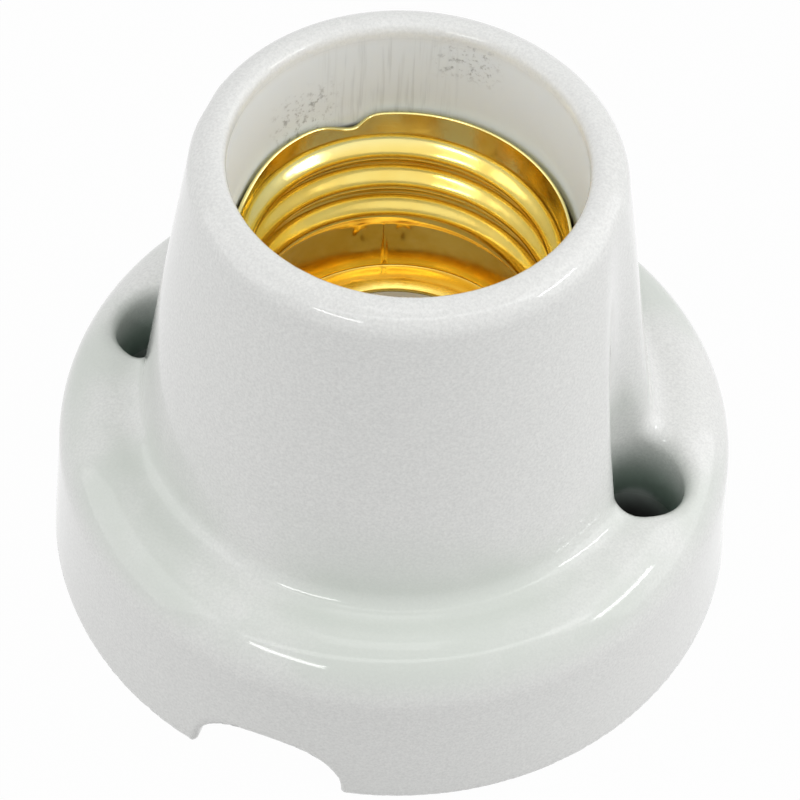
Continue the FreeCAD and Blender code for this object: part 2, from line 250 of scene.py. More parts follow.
PORCELAIN_STEP = 0.47
SCREW_STEP = 0.11
NUT_STEP = 0.12
WASHER_STEP = 0.13
CONTACT_STEP = 0.13
PLATE_STEP = 0.17
SHELL_COLUMNS = 320
WALL_ROWS = 112
BEND_ROWS = 8
LIP_ROWS = 9
SETTLE_ROUNDS = 4

# Camera of the photograph: elevation, turn about the lamp axis, roll, distance and focal length
CAMERA_ELEVATION = 53.53
CAMERA_AZIMUTH = 18.29
CAMERA_ROLL = 3.02
CAMERA_DISTANCE = 250.1
FOCAL_PIXELS = 2765.34
FRAME_PIXELS = 800
FOOT_PIXEL = (390.2, 509.58)
CENTRE_PIXEL = (401.0, 399.0)

# Zones of the glaze and the brass, as the places where a smooth step is 0 and 1:
# heights and radii in millimetres, turns about the lamp axis in degrees
# Heights of the flange's green tint, which also carries painted shade from the tower
GREEN_SHADE_TOP = (28, 16)
GREEN_SHADE_FOOT = (12.5, 15.5)
BORE_WALL = (14.9, 14.6)
BORE_FOOT = (17.2, 17.8)
BORE_TOP = (45.9, 44.2)
SEAT_SHADE_TOP = (36.0, 35.4)
SEAT_SHADE_WALL = (12.2, 12.6)
MOUTH_FOOT = (34.0, 34.5)
STREAKS_RIGHT = (84, 104)
STREAKS_LEFT = (150, 132)
LEFT_SPECKS = ((130, 142), (164, 154), (42.5, 39.5))
RIGHT_SPECKS = ((76, 84), (104, 96), (40.5, 42.5))
WELL_WALL = (4.9, 4.1)
WELL_FOOT = (3.7, 4.0)
SCREW_HOLE_WALL = (3.0, 2.7)
# Heights below which the fixing wells and screw holes get painted shade, darker further down
WELL_SHADE_TOP = (17.2, 9.0)
DARKEST_WELL_SHADE_TOP = (10.5, 5.5)
STAIN_TOP = (26.2, 24.2)
STAIN_FOOT = (18.6, 19.6)
# Height above which the plain band of the shell gets a painted reflection
REFLECTION_BAND_FOOT = (33.6, 34.6)

# Tones of the glaze
GLAZE_DARK = (0.765, 0.77, 0.755)
GLAZE_LIGHT = (0.90, 0.905, 0.885)
# Green tint of thick glaze on the flange, darkened as painted shade where the tower shades it
GLAZE_GREEN_AND_SHADE = (0.675, 0.72, 0.665)
# Painted cool tint in the bore, which offsets the warm light that the brass throws onto its wall
BORE_COOL_TINT = (0.895, 0.94, 0.98)
SEAT_SHADE = (0.07, 0.05, 0.03)
STREAK_TONE = (0.45, 0.48, 0.51)
SPECK_TONE = (0.2, 0.21, 0.23)
# Painted shade deep in the fixing wells, near black towards their bottoms
WELL_SHADE_TONE = (0.25, 0.33, 0.28)
DARKEST_WELL_SHADE_TONE = (0.03, 0.033, 0.03)
GLAZE_IOR = 1.5
GREEN_SHADE_SHARE = 0.8
STREAK_SHARE = 0.24
STREAK_STRETCH = (1.0, 1.0, 0.05)
SPECK_SHARE = 0.6
BORE_DULLNESS = 0.42
WELL_DULLNESS = 0.75

# Brasses: name, light tone, dark tone and lowest roughness
ROLLED_BRASS = ("rolled_brass", (0.97, 0.775, 0.23), (0.93, 0.65, 0.13), 0.11)
SPRING_BRASS = ("spring_brass", (0.82, 0.64, 0.3), (0.7, 0.52, 0.22), 0.24)
STAMPED_BRASS = ("stamped_brass", (0.8, 0.62, 0.3), (0.66, 0.5, 0.22), 0.3)
TURNED_BRASS = ("turned_brass", (0.86, 0.69, 0.36), (0.74, 0.57, 0.27), 0.22)
BRASS_GRAIN = 0.1
STAIN_TONE = (0.72, 0.42, 0.04)
# Painted reflection: lighter, paler tone of the plain band above the thread
TOP_BAND_REFLECTION_TONE = (0.985, 0.86, 0.36)
STAIN_LEAST = 0.5
STAIN_CLOUDS = 0.45

# Floor, in metres, and surroundings
FLOOR_HALF = 4.0
FLOOR_LEVEL = -0.00002
FLOOR_TONE = (0.45, 0.45, 0.45)
FLOOR_GLOW = 0.98
FLOOR_OPEN_R = FOOT_R - 0.3
FLAT = (1.0, 1.0, 0.0)
SKY_LIGHT = 0.56

# Lamps: name, degrees round from the camera's side, degrees up, metres away, metres wide and high, watts
LAMPS = (
    ("lamp_left", -29, 34, 0.6, (0.21, 0.05), 0.3),
    ("lamp_right", 78, 30, 0.6, (0.21, 0.05), 0.36),
    ("lamp_strip", 12, 59, 0.7, (1.2, 0.08), 0.46),
    ("fill_left", -85, 25, 0.7, (0.6, 0.6), 0.98),
    ("fill_right", 97, 28, 0.7, (0.75, 0.75), 1.74),
    ("fill_top", 0, 88, 0.7, (0.2, 0.2), 0.12),
)


def smoothstep(low, high, value):
    """Smooth rise from 0 at low to 1 at high."""
    t = np.clip((value - low) / (high - low), 0, 1)
    return t * t * (3 - 2 * t)


def axis_distance(x, y, px=0, py=0):
    """Distance from the upright axis through (px, py)."""
    return np.sqrt((x - px) ** 2 + (y - py) ** 2)


def round_max(a, b, radius):
    """Intersection of two distance fields with a round edge of that radius."""
    u = np.maximum(a + radius, 0)
    v = np.maximum(b + radius, 0)
    return np.minimum(np.maximum(a, b), -radius) + np.sqrt(u * u + v * v)


def round_min(a, b, radius):
    """Union of two distance fields with a round inner corner of that radius."""
    u = np.maximum(radius - a, 0)
    v = np.maximum(radius - b, 0)
    return np.maximum(np.minimum(a, b), radius) - np.sqrt(u * u + v * v)


def slab_field(z, low, high):
    """Distance outside the layer between two heights."""
    return np.abs(z - (low + high) / 2) - (high - low) / 2


def cone_side(r, z, low, high):
    """Distance outside the cone through two (r, z) points of its side."""
    dr = high[0] - low[0]
    dz = high[1] - low[1]
    length = math.hypot(dr, dz)
    return ((r - low[0]) * dz - (z - low[1]) * dr) / length


def hand_wobble(x, y, z):
    """Slow unevenness of the fired and glazed outside, in millimetres."""
    angle = np.arctan2(y, x)
    waves = OVAL[0] * np.sin(2 * angle + OVAL[1])
    waves = waves + LOBES[0] * np.sin(3 * angle + LOBE_TWIST * z + LOBES[1])
    waves = waves + RIPPLE[0] * np.sin(RIPPLE_TWIST * z + 2 * angle) * np.cos(angle + RIPPLE[1])
    return waves * smoothstep(*WOBBLE_RISE, z)


def outside_field(x, y, z):
    """Skirted base, rounded shoulder and conical tower."""
    r = axis_distance(x, y) + hand_wobble(x, y, z)
    skirt = cone_side(r, z, (FOOT_R, FOOT_ROUND), (SKIRT_TOP_R, FLANGE_Z - FLANGE_ROUND))
    base = round_max(skirt, z - FLANGE_Z, FLANGE_ROUND)
    tower = cone_side(r, z, (TOWER_FOOT_R, FLANGE_Z), (TOWER_TOP_R, HEIGHT))
    tower = round_max(tower, z - HEIGHT, RIM_ROUND_OUT)
    return round_min(base, tower, TOWER_FILLET)


def bore_field(x, y, z):
    """Seat of the shell with the slightly wider mouth above it."""
    step = smoothstep(MOUTH_STEP_Z - MOUTH_STEP_HALF, MOUTH_STEP_Z + MOUTH_STEP_HALF, z)
    radius = SEAT_R + (MOUTH_R - SEAT_R) * step
    return np.maximum(axis_distance(x, y) - radius, SHELL_FOOT_Z - z)


def cavity_field(x, y, z):
    """Wiring space in the back, around the two fixing bosses and the rib."""
    wall = cone_side(axis_distance(x, y), z, (CAVITY_MOUTH_R, 0), (CAVITY_ROOF_R, ROOF_Z))
    cavity = round_max(wall, z - ROOF_Z, CAVITY_ROUND)
    side = np.abs(x)
    boss = axis_distance(side, y, HOLE_X) - BOSS_R
    web = np.maximum(np.abs(y) - BOSS_R, HOLE_X - side)
    cavity = round_max(cavity, -np.minimum(boss, web), CAVITY_ROUND)
    front = CLAMP_Y - PAD_HALF_Y - LUG
    rib = np.maximum(np.abs(x - RIB_X) - RIB_HALF, np.maximum(y - RIB_BACK_Y, front - y))
    rib = np.maximum(rib, ROOF_Z - RIB_DEPTH - z)
    return round_max(cavity, -rib, RIB_ROUND)


def notch_field(x, y, z):
    """Arched way for the cable through the skirt."""
    wide = np.abs(x) ** NOTCH_POWER
    tall = (NOTCH_FLATNESS * np.maximum(z, 0)) ** NOTCH_POWER
    arch = (wide + tall) ** (1 / NOTCH_POWER) - NOTCH_R
    return np.maximum(arch, y - NOTCH_END_Y)


def fixing_field(x, y, z):
    """Driver channel and head well above the ledge, and the screw hole through it, on both sides."""
    r = axis_distance(np.abs(x), y, HOLE_X)
    return np.minimum(np.maximum(r - WELL_R, LEDGE_Z - z), r - SCREW_HOLE_R)


def drilled_holes():
    """Place, radius and top of the socket floor's screw holes and of the blind reliefs."""
    radius = SCREW_R + HOLE_PLAY
    rows = [(SHELL_X + side * SHELL_SCREW_R, 0, radius, HEIGHT) for side in (-1, 1)]
    rows.append((0, CONTACT_SCREW_Y, radius, HEIGHT))
    relief_top = WIRE_SEAT_Z + WIRE_SCREW_LENGTH + RELIEF_END_GAP
    rows += [(side * CLAMP_X, CLAMP_Y, RELIEF_R, relief_top) for side in (-1, 1)]
    return rows


def porcelain_field(x, y, z):
    """Signed distance to the porcelain, negative inside it."""
    rim_round = RIM_ROUND_IN * smoothstep(*RIM_ROUND_RISE, z) + SEAT_ROUND
    well_round = WELL_ROUND * smoothstep(*WELL_ROUND_RISE, z) + LEDGE_ROUND
    field = outside_field(x, y, z)
    field = round_max(field, -bore_field(x, y, z), rim_round)
    field = round_max(field, -cavity_field(x, y, z), OPENING_ROUND)
    field = round_max(field, -notch_field(x, y, z), OPENING_ROUND)
    field = round_max(field, -fixing_field(x, y, z), well_round)
    field = round_max(field, -z, FOOT_ROUND)
    for px, py, radius, top in drilled_holes():
        hole = np.maximum(axis_distance(x, y, px, py) - radius, z - top)
        field = round_max(field, -hole, DRILLED_ROUND)
    return field


def surface_net(field, low, high, step):
    """Quads on the zero level of a distance field, one vertex in each grid cell that it crosses."""
    counts = [int(math.ceil((b - a) / step)) + 1 for a, b in zip(low, high)]
    axes = [a + step * np.arange(n) for a, n in zip(low, counts)]
    values = field(*np.meshgrid(*axes, indexing="ij"))
    index, places = cell_points(values, [n - 1 for n in counts])
    return places * step + np.array(low), cell_quads(values < 0, index)


def cell_points(values, cells):
    """Number of each crossed cell's vertex, -1 elsewhere, and the vertices' places in cell units."""
    total = np.zeros(cells + [3])
    hits = np.zeros(cells)
    for axis in range(3):
        others = [a for a in range(3) if a != axis]
        for i in (0, 1):
            for j in (0, 1):
                first = [slice(None)] * 3
                first[axis] = slice(0, cells[axis])
                first[others[0]] = slice(i, i + cells[others[0]])
                first[others[1]] = slice(j, j + cells[others[1]])
                second = list(first)
                second[axis] = slice(1, cells[axis] + 1)
                a = values[tuple(first)]
                b = values[tuple(second)]
                cross = (a < 0) != (b < 0)
                share = np.where(cross, a / np.where(cross, a - b, 1), 0)
                offset = [0, 0, 0]
                offset[others[0]] = i
                offset[others[1]] = j
                for k in range(3):
                    part = share if k == axis else offset[k]
                    total[..., k] += np.where(cross, part, 0)
                hits += cross
    used = hits > 0
    index = np.full(cells, -1)
    index[used] = np.arange(used.sum())
    base = np.stack(np.nonzero(used), axis=1)
    return index, base + total[used] / hits[used][:, None]


def cell_quads(inside, index):
    """Quads round the grid edges that the surface crosses, facing outwards."""
    cells = index.shape
    quads = []
    for axis in range(3):
        u, v = [(1, 2), (2, 0), (0, 1)][axis]
        first = [slice(1, c) for c in cells]
        first[axis] = slice(0, cells[axis])
        second = list(first)
        second[axis] = slice(1, cells[axis] + 1)
        a = inside[tuple(first)]
        b = inside[tuple(second)]
        for sign in (True, False):
            edges = np.stack(np.nonzero((a == sign) & (b != sign)), axis=1)
            for k in (u, v):
                edges[:, k] += 1
            corners = []
            for du, dv in ((-1, -1), (0, -1), (0, 0), (-1, 0)):
                cell = edges.copy()
                cell[:, u] += du
                cell[:, v] += dv
                corners.append(index[cell[:, 0], cell[:, 1], cell[:, 2]])
            if not sign:
                corners = corners[::-1]
            quads.append(np.stack(corners, axis=1))
    return np.concatenate(quads)


def settle(field, points):
    """Moves points along the gradient onto the zero level of a distance field."""
    reach = 0.02
    least_slope = 0.3
    for _ in range(SETTLE_ROUNDS):
        x, y, z = points.T
        value = field(x, y, z)
        slope = np.stack([
            field(x + reach, y, z) - field(x - reach, y, z),
            field(x, y + reach, z) - field(x, y - reach, z),
            field(x, y, z + reach) - field(x, y, z - reach),
        ], axis=1) / (2 * reach)
        square = np.maximum((slope * slope).sum(axis=1), least_slope)
        points = points - slope * (value / square)[:, None]
    return points


def mesh_piece(name, points, faces, body):
    """Object from points in millimetres and faces, smooth shaded, riding on a body if one is named."""
    mesh = bpy.data.meshes.new(name)
    mesh.from_pydata((np.asarray(points) * MM).tolist(), [], np.asarray(faces).tolist())
    mesh.validate()
    mesh.polygons.foreach_set("use_smooth", [True] * len(mesh.polygons))
    mesh.update()
    piece = bpy.data.objects.new(name, mesh)
    bpy.context.scene.collection.objects.link(piece)
    if body:
        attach(piece, body)
    return piece


def porcelain():
    """The whole porcelain body as one mesh of its distance field."""
    step = PORCELAIN_STEP
    margin = 2 * step
    low = (-FOOT_R - margin, -FOOT_R - margin, -margin)
    high = (FOOT_R + margin, FOOT_R + margin, HEIGHT + margin)
    points, quads = surface_net(porcelain_field, low, high, step)
    points = settle(porcelain_field, points)
    piece = mesh_piece("porcelain_glazed", points, quads, "holder")
    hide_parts("porcelain_body")
    return piece


def shell_radius(angle, z):
    """Inside radius of the shell on its upright wall."""
    turn = (angle - THREAD_START) / (2 * math.pi)
    height = (z - THREAD_LOW_Z) / PITCH
    along = turn + np.round(height - turn)
    run_out = THREAD_TURNS + THREAD_RUN_OUT
    reach = smoothstep(-THREAD_RUN_OUT, RUN_OUT_LAP, along)
    reach = reach * (1 - smoothstep(THREAD_TURNS - RUN_OUT_LAP, run_out, along))
    ridge = 0.5 + 0.5 * np.cos(2 * math.pi * (height - along))
    plain = SHELL_LOWER_R + (ROOT_R - SHELL_LOWER_R) * smoothstep(*LOWER_STEP, z)
    return plain - THREAD_DEPTH * reach * ridge ** RIDGE_POWER + wall_marks(angle, z)


def wall_marks(angle, z):
    """Shallow butt seam and the two punch marks, all pressed outwards in the lower wall."""
    degrees = np.degrees(angle)
    foot = SHELL_FOOT_Z + SHEET + SHELL_BEND
    low_part = smoothstep(foot, foot + SEAM_FADE_LOW, z)
    low_part = low_part * (1 - smoothstep(LOWER_WALL_TOP - SEAM_FADE_HIGH, LOWER_WALL_TOP, z))
    marks = SEAM_DEPTH * np.exp(-((degrees - SEAM_DEG) / SEAM_HALF_DEG) ** 2) * low_part
    for place in MARK_DEG:
        across = (degrees - place) / MARK_HALF_DEG
        up = (z - MARK_Z) / MARK_HALF_Z
        marks = marks + MARK_DEPTH * np.exp(-(across * across + up * up))
    return marks


def rim_drop(angle):
    """How far the shell's rim stands below its highest part: a dented corner and a low stretch."""
    degrees = np.degrees(angle)
    reach = np.where(degrees < DENT_DEG, *DENT_HALF_DEG)
    dent = DENT_DEPTH * np.exp(-((degrees - DENT_DEG) / reach) ** 2)
    return dent + LOW_RIM_DEPTH * np.exp(-((degrees - LOW_RIM_DEG) / LOW_RIM_HALF_DEG) ** 2)


def lip_radius(angle):
    """Inner edge of the lip at the foot, which runs out into an ear at each fixing screw."""
    x = np.abs(np.cos(angle))
    gap = EAR_R ** 2 - SHELL_SCREW_R ** 2 * (1 - x * x)
    ear = SHELL_SCREW_R * x - np.sqrt(np.maximum(gap, 0))
    return np.where(gap > 0, np.minimum(ear, LIP_R), LIP_R)


def lip_lift(angles, radius):
    """Rise of the lip above its inner edge: it falls in a soft crown, and is level by the ears."""
    away = smoothstep(*CROWN_START, np.abs(np.sin(angles)))
    share = np.clip((radius - LIP_R) / (LIP_TOP_R - LIP_R), 0, 1)
    return LIP_CROWN * away * np.sin(share * math.pi / 2)


def wall_row(angles, level):
    """Inside radius, height and outward direction (r, z) of the shell's wall at one height of its rim."""
    z = level - rim_drop(angles) * smoothstep(SHELL_TOP_Z - RIM_BAND_H, SHELL_TOP_Z, level)
    reach = 0.05
    slope = (shell_radius(angles, z + reach) - shell_radius(angles, z - reach)) / (2 * reach)
    scale = 1 / np.sqrt(1 + slope * slope)
    return shell_radius(angles, z), z, scale, -slope * scale


def shell_rows(angles):
    """Rows of the shell's inside from the rim, round the bend, to the edge of the lip."""
    even = np.ones_like(angles)
    foot = SHELL_FOOT_Z + SHEET
    count = WALL_ROWS
    rows = [wall_row(angles, z) for z in np.linspace(SHELL_TOP_Z, foot + SHELL_BEND, count)]
    for a in np.linspace(0, math.pi / 2, BEND_ROWS)[1:]:
        radius = SHELL_LOWER_R - SHELL_BEND * (1 - math.cos(a))
        lift = math.sin(a) * lip_lift(angles, LIP_TOP_R * even)
        z = foot + SHELL_BEND * (1 - math.sin(a)) + lift
        rows.append((radius * even, z, math.cos(a) * even, -math.sin(a) * even))
    edge = lip_radius(angles)
    for share in np.linspace(0, 1, LIP_ROWS)[1:]:
        radius = LIP_TOP_R + (edge - LIP_TOP_R) * share
        rows.append((radius, foot + lip_lift(angles, radius), 0 * even, -even))
    return rows


def shell_angles(count):
    """Angles once round the shell, closer together by the seam and the marks."""
    middle = 117
    half = 15
    extra = 2.2
    fine = np.linspace(0, 2 * math.pi, 2881)
    near = np.exp(-((np.degrees(fine) - middle) / half) ** 4)
    share = np.concatenate([[0], np.cumsum(1 + extra * near[1:])])
    return np.interp(np.arange(count) / count, share / share[-1], fine)


def screw_shell():
    """Rolled brass sheet: both skins from the rim down to the lip, closed at both edges."""
    turns = SHELL_COLUMNS
    angles = shell_angles(turns)
    across = np.cos(angles)
    along = np.sin(angles)
    inner = []
    outer = []
    for r, z, nr, nz in shell_rows(angles):
        thick = SHEET - RIM_THINNING * smoothstep(SHELL_TOP_Z - RIM_THIN_H, SHELL_TOP_Z, z)
        far = r + thick * nr
        inner.append(np.stack([r * across, r * along, z], axis=1))
        outer.append(np.stack([far * across, far * along, z + thick * nz], axis=1))
    points = np.concatenate(inner + outer[::-1])
    points[:, 0] += SHELL_X
    count = 2 * len(inner)
    faces = []
    index = np.arange(turns)
    after = (index + 1) % turns
    for row in range(count):
        a = row * turns
        b = (row + 1) % count * turns
        faces.append(np.stack([a + index, a + after, b + after, b + index], axis=1)[:, ::-1])
    piece = mesh_piece("rolled_shell", points, np.concatenate(faces), "holder")
    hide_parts("screw_shell")
    return piece


def small_piece(name, field, low, high, step, body, node):
    """Fine mesh of a small piece from its distance field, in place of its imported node."""
    step = step
    margin = 2.5 * step
    points, quads = surface_net(field, np.array(low) - margin, np.array(high) + margin, step)
    points = settle(field, points)
    piece = mesh_piece(name, points, quads, body)
    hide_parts(node)
    return piece


def thread_groove(x, y, z, pitch):
    """Depth below the crest of a fine right-hand screw thread."""
    phase = z / pitch - np.arctan2(y, x) / (2 * math.pi)
    return GROOVE_SHARE * pitch * (1 + np.cos(2 * math.pi * phase))


def screw_field(x, y, z, way, sizes):
    """Slotted cheese-head screw with its seat at z 0 and its head towards way along z."""
    (shank_r, length), (head_r, head_h), (slot_w, slot_d), pitch = sizes
    h = z * way
    r = axis_distance(x, y)
    top = round_max(r - head_r, h - head_h, HEAD_ROUND)
    top = round_max(top, -h, HEAD_SEAT_EDGE)
    cut = np.maximum(np.abs(x) - slot_w / 2, head_h - slot_d - h)
    top = round_max(top, -cut, SLOT_EDGE)
    side = r - shank_r + thread_groove(x, y, z, pitch) * smoothstep(*GROOVE_START, -h)
    rod = np.maximum(round_max(side, -h - length, SHANK_END_ROUND), h - head_h / 2)
    return np.minimum(top, rod)


def slotted_screw(name, node, body, place, way, sizes):
    """Fine screw in place of a packed one, from its seat, direction and sizes."""
    px, py, seat = place
    length = sizes[0][1]
    head_r, head_h = sizes[1]

    def field(x, y, z):
        return screw_field(x - px, y - py, z - seat, way, sizes)

    ends = sorted([seat + way * head_h, seat - way * length])
    low = (px - head_r, py - head_r, ends[0])
    high = (px + head_r, py + head_r, ends[1])
    return small_piece(name, field, low, high, SCREW_STEP, body, node)


def screws():
    """The two shell screws, the contact screw and the two wire screws."""
    fine = ((SCREW_R, SCREW_LENGTH), (SCREW_HEAD_R, SCREW_HEAD_H), SCREW_SLOT, SCREW_PITCH)
    broad = ((WIRE_SCREW_R, WIRE_SCREW_LENGTH), (WIRE_HEAD_R, WIRE_HEAD_H), WIRE_SLOT, WIRE_PITCH)
    lip_z = SHELL_FOOT_Z + SHEET
    left = (SHELL_X - SHELL_SCREW_R, 0, lip_z)
    right = (SHELL_X + SHELL_SCREW_R, 0, lip_z)
    on_contact = (0, CONTACT_SCREW_Y, SHELL_FOOT_Z + CONTACT_SHEET)
    wire_left = (-CLAMP_X, CLAMP_Y, WIRE_SEAT_Z)
    wire_right = (CLAMP_X, CLAMP_Y, WIRE_SEAT_Z)
    rows = [
        ("slotted_screw_left", "shell_screw_left", "holder", left, 1, fine),
        ("slotted_screw_right", "shell_screw_right", "holder", right, 1, fine),
        ("slotted_screw_contact", "contact_screw", "holder", on_contact, 1, fine),
        ("slotted_wire_screw_left", "neutral_wire_screw", "neutral_screw", wire_left, -1, broad),
        ("slotted_wire_screw_right", "live_wire_screw", "live_screw", wire_right, -1, broad),
    ]
    return [slotted_screw(*row) for row in rows]


def box_field(x, y, half_x, half_y, corner):
    """Distance outside a rectangle in plan with rounded corners."""
    return round_max(np.abs(x) - half_x, np.abs(y) - half_y, corner)


def strap_field(x, y, start, end, half):
    """Distance outside a strap with round ends in plan."""
    along = np.array(end) - np.array(start)
    share = ((x - start[0]) * along[0] + (y - start[1]) * along[1]) / (along @ along)
    share = np.clip(share, 0, 1)
    return axis_distance(x, y, start[0] + share * along[0], start[1] + share * along[1]) - half


def terminal(name, node, side, end):
    """Stamped plate with its two turned-down lugs, its strap and both holes, edges broken."""
    px = side * CLAMP_X
    lug_x = PAD_HALF_X - LUG / 2
    holes = ((px, CLAMP_Y, WIRE_SCREW_R + RUNNING_PLAY), (*end, SCREW_R + TAPPED_PLAY))

    def field(x, y, z):
        pad = box_field(x - px, y - CLAMP_Y, PAD_HALF_X, PAD_HALF_Y, PAD_CORNER)
        plan = round_min(pad, strap_field(x, y, (px, CLAMP_Y), end, STRAP_HALF), STRAP_JOIN)
        plate = round_max(plan, slab_field(z, PLATE_Z, ROOF_Z), PLATE_EDGE)
        lug_half_y = PAD_HALF_Y - LUG_INSET
        lug = box_field(np.abs(x - px) - lug_x, y - CLAMP_Y, LUG / 2, lug_half_y, LUG_EDGE)
        ends = np.maximum(PLATE_Z - LUG_DEPTH - z, z - ROOF_Z + LUG_TOP_GAP)
        plate = round_min(plate, round_max(lug, ends, LUG_EDGE), LUG_BEND)
        for qx, qy, radius in holes:
            plate = round_max(plate, radius - axis_distance(x, y, qx, qy), PLATE_HOLE_EDGE)
        return plate

    low, high = span_of(node)
    return small_piece(name, field, low, high, PLATE_STEP, "holder", node)


def clamp_washer(name, node, body, side):
    """Square wire washer with rounded corners and a broken edge."""
    px = side * CLAMP_X
    reach = (clamp_high[0] - clamp_low[0]) / 2

    def field(x, y, z):
        plan = box_field(x - px, y - CLAMP_Y, reach, reach, CLAMP_CORNER)
        hole = WIRE_SCREW_R + RUNNING_PLAY - axis_distance(x, y, px, CLAMP_Y)
        plan = round_max(plan, hole, CLAMP_HOLE_EDGE)
        return round_max(plan, slab_field(z, clamp_low[2], clamp_high[2]), CLAMP_EDGE)

    low, high = span_of(node)
    return small_piece(name, field, low, high, WASHER_STEP, body, node)


def shell_nut():
    """Hexagon nut with chamfered corners."""
    px = (nut_low[0] + nut_high[0]) / 2
    flat = nut_high[1]

    def field(x, y, z):
        x = x - px
        r = axis_distance(x, y)
        six = np.abs(y)
        for a in (math.pi / 6, -math.pi / 6):
            six = np.maximum(six, np.abs(x * math.cos(a) + y * math.sin(a)))
        ends = slab_field(z, nut_low[2], nut_high[2])
        body = round_max(six - flat, ends, NUT_EDGE)
        chamfer = (r - flat - NUT_CHAMFER + NUT_CHAMFER_FALL * ends) / 2
        return round_max(np.maximum(body, chamfer), SCREW_R + TAPPED_PLAY - r, NUT_HOLE_EDGE)

    step = NUT_STEP
    return small_piece("hexagon_nut", field, nut_low, nut_high, step, "holder", "shell_nut")


def shell_washer():
    """Round washer between the floor and the nut."""
    low, high = span_of("shell_washer")
    px = (nut_low[0] + nut_high[0]) / 2
    ring_r = (high[0] - low[0]) / 2

    def field(x, y, z):
        r = axis_distance(x, y, px)
        plan = np.maximum(r - ring_r, SCREW_R + HOLE_PLAY - r)
        return round_max(plan, slab_field(z, low[2], high[2]), RING_EDGE)

    step = NUT_STEP
    return small_piece("round_washer", field, low, high, step, "holder", "shell_washer")


def contact_path():
    """Middle line (y, z) of the contact tongue from under its screw to its tip."""
    low, high = span_of("centre_contact")
    half = CONTACT_SHEET / 2
    foot = low[2] + half
    top = high[2] - half
    foot_end = CONTACT_SCREW_Y + SCREW_HEAD_R + CONTACT_FOOT_FRONT
    top_start = foot_end + (top - foot) / math.tan(CONTACT_RISE)
    top_end = top_start + CONTACT_TOP_LENGTH
    tip = (high[1] - half, top - CONTACT_TIP_DROP)
    return [(low[1] + half, foot), (foot_end, foot), (top_start, top), (top_end, top), tip]


def centre_contact():
    """Bent spring tongue whose foot stays under its screw while its top is pressed down."""
    path = contact_path()
    low, high = span_of("centre_contact")

    def field(x, y, z):
        gaps = [strap_field(y, z, a, b, CONTACT_SHEET / 2) for a, b in zip(path, path[1:])]
        sheet = gaps[0]
        for gap in gaps[1:]:
            sheet = round_min(sheet, gap, TONGUE_BEND)
        plan = round_max(np.abs(x) - CONTACT_HALF, y - high[1], TONGUE_TIP_CORNER)
        plan = round_max(plan, low[1] - y, TONGUE_FOOT_CORNER)
        hole = SCREW_R + HOLE_PLAY - axis_distance(x, y, 0, CONTACT_SCREW_Y)
        return round_max(round_max(sheet, plan, TONGUE_EDGE), hole, TONGUE_HOLE_EDGE)

    step = CONTACT_STEP
    piece = small_piece("bent_contact", field, low, high, step, None, "centre_contact")
    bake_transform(piece)
    return piece


def feed(tree, socket, value):
    """Links a socket to another one, or sets it to a value."""
    if isinstance(value, bpy.types.NodeSocket):
        tree.links.new(value, socket)
    else:
        socket.default_value = value


def node_input(tree, kind, links=None, **values):
    """New node with its input sockets set to values or linked from other sockets."""
    node = tree.nodes.new(kind)
    for name, value in values.items():
        setattr(node, name, value)
    for name, value in (links or {}).items():
        feed(tree, node.inputs[name], value)
    return node


def math_node(tree, operation, *values):
    """Result of one math node on numbers or sockets."""
    node = tree.nodes.new("ShaderNodeMath")
    node.operation = operation
    for socket, value in zip(node.inputs, values):
        feed(tree, socket, value)
    return node.outputs[0]


def calc(tree, operation, first, *others):
    """Result of a math operation on two or more values, folded from the left."""
    for other in others:
        first = math_node(tree, operation, first, other)
    return first


def multiply(tree, *values):
    """Product of numbers and sockets."""
    return calc(tree, "MULTIPLY", *values)


def vector_math(tree, operation, links):
    """Vector math node on numbers or sockets."""
    return node_input(tree, "ShaderNodeVectorMath", links, operation=operation)


def ramp(tree, source, stops):
    """Colour ramp on a value, from (position, colour) stops."""
    node = node_input(tree, "ShaderNodeValToRGB", {"Fac": source})
    elements = node.color_ramp.elements
    while len(elements) < len(stops):
        elements.new(0.5)
    for element, (place, colour) in zip(elements, stops):
        element.position = place
        element.color = (*colour, 1)
    return node.outputs["Color"]


def cleared_material(name):
    """Empty node material, with its tree and the input for its surface."""
    material = bpy.data.materials.new(name)
    material.use_nodes = True
    tree = material.node_tree
    tree.nodes.clear()
    out = tree.nodes.new("ShaderNodeOutputMaterial")
    return material, tree, out.inputs["Surface"]


def new_material(name):
    """Material with a Principled shader, and the object's own coordinates to place its marks by."""
    material, tree, surface = cleared_material(name)
    shader = tree.nodes.new("ShaderNodeBsdfPrincipled")
    tree.links.new(shader.outputs["BSDF"], surface)
    place = tree.nodes.new("ShaderNodeTexCoord").outputs["Object"]
    return material, tree, shader, place


def noise(tree, place, scale, detail=3.0, roughness=0.5):
    """Noise about 0.5 with that many waves a metre."""
    links = {"Vector": place, "Scale": scale, "Detail": detail, "Roughness": roughness}
    return node_input(tree, "ShaderNodeTexNoise", links).outputs["Fac"]


def mask(tree, value, low, high):
    """Smooth step of a value from 0 at low to 1 at high, which may lie below low."""
    links = {"Value": value, "From Min": low, "From Max": high}
    node = node_input(tree, "ShaderNodeMapRange", links, interpolation_type="SMOOTHSTEP")
    return node.outputs["Result"]


def zone(tree, value, ends):
    """Mask of a height or radius in metres between two places in millimetres."""
    return mask(tree, value, ends[0] * MM, ends[1] * MM)


def blend_colour(tree, share, first, second):
    """Colour that goes from first to second with a share that is a socket."""
    node = tree.nodes.new("ShaderNodeMix")
    node.data_type = "RGBA"
    tree.links.new(share, node.inputs["Factor"])
    for name, source in (("A", first), ("B", second)):
        socket = [i for i in node.inputs if i.name == name and i.type == "RGBA"][0]
        feed(tree, socket, source if isinstance(source, bpy.types.NodeSocket) else (*source, 1))
    return [o for o in node.outputs if o.type == "RGBA"][0]


